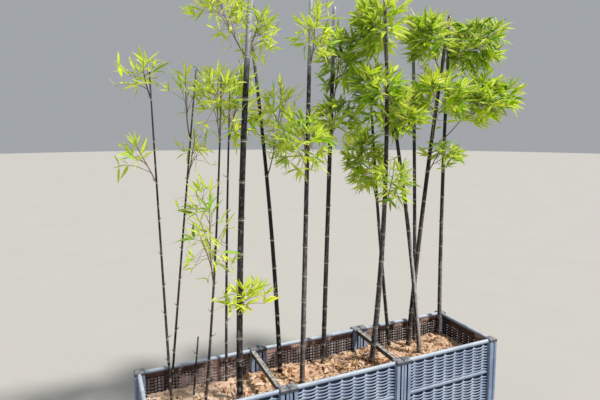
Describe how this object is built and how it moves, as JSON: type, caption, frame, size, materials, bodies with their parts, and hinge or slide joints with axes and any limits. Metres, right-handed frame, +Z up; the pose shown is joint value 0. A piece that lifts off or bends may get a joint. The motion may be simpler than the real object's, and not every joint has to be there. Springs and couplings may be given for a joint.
{
  "type": "potted bamboo",
  "caption": "Dark-caned bamboo, its canes cut short at the top, growing in a long woven-look plastic planter trough of joined modules filled with soil.",
  "frame": {"origin": "middle of the planter's flat underside, on the surface it stands on", "axes": "+Z up along the canes, +X along the planter to the right as seen from its front, +Y to its back"},
  "size_m": [1.9407, 0.5065, 2.0196],
  "materials": {
    "planter_plastic": "blue-grey moulded plastic with a woven look, slightly chalky",
    "tie_bar_plastic": "dark grey moulded plastic",
    "soil": "dry crumbly orange-brown clay soil",
    "cane": "smooth purple-black culm with a waxy sheen and pale node rings",
    "foliage": "thin yellow-green leaves"
  },
  "bodies": {
    "root": {"panel_front_left": "planter_plastic", "panel_front_middle": "planter_plastic", "panel_front_right": "planter_plastic", "panel_back_left": "planter_plastic", "panel_back_middle": "planter_plastic", "panel_back_right": "planter_plastic", "panel_end_left": "planter_plastic", "panel_end_right": "planter_plastic", "joint_post_front_left": "planter_plastic", "joint_post_front_right": "planter_plastic", "joint_post_back_left": "planter_plastic", "joint_post_back_right": "planter_plastic", "corner_post_front_left": "planter_plastic", "corner_post_front_right": "planter_plastic", "corner_post_back_left": "planter_plastic", "corner_post_back_right": "planter_plastic", "tie_bar_left": "tie_bar_plastic", "tie_bar_right": "tie_bar_plastic", "base_tray": "planter_plastic", "soil": "soil", "culm_01": "cane", "culm_02": "cane", "culm_03_stub": "cane", "culm_04": "cane", "culm_05": "cane", "culm_06": "cane", "culm_07": "cane", "culm_08": "cane", "culm_09": "cane", "culm_10": "cane", "culm_11": "cane", "culm_12": "cane", "culm_13": "cane", "culm_14": "cane", "culm_15": "cane", "leaves_01_top": "foliage", "leaves_01_low": "foliage", "leaves_02_top": "foliage", "leaves_02_low": "foliage", "leaves_04_top": "foliage", "leaves_04_low": "foliage", "leaves_05_top": "foliage", "leaves_06_foot": "foliage", "leaves_06_left": "foliage", "leaves_06_right": "foliage", "leaves_07": "foliage", "leaves_08_low": "foliage", "leaves_08_top": "foliage", "leaves_09_top": "foliage", "leaves_09_low": "foliage", "leaves_10_top": "foliage", "leaves_10_middle": "foliage", "leaves_10_low": "foliage", "leaves_11": "foliage", "leaves_12": "foliage", "leaves_13_top": "foliage", "leaves_13_middle": "foliage", "leaves_13_low": "foliage", "leaves_15_top": "foliage", "leaves_15_low": "foliage"}
  },
  "joints": []
}
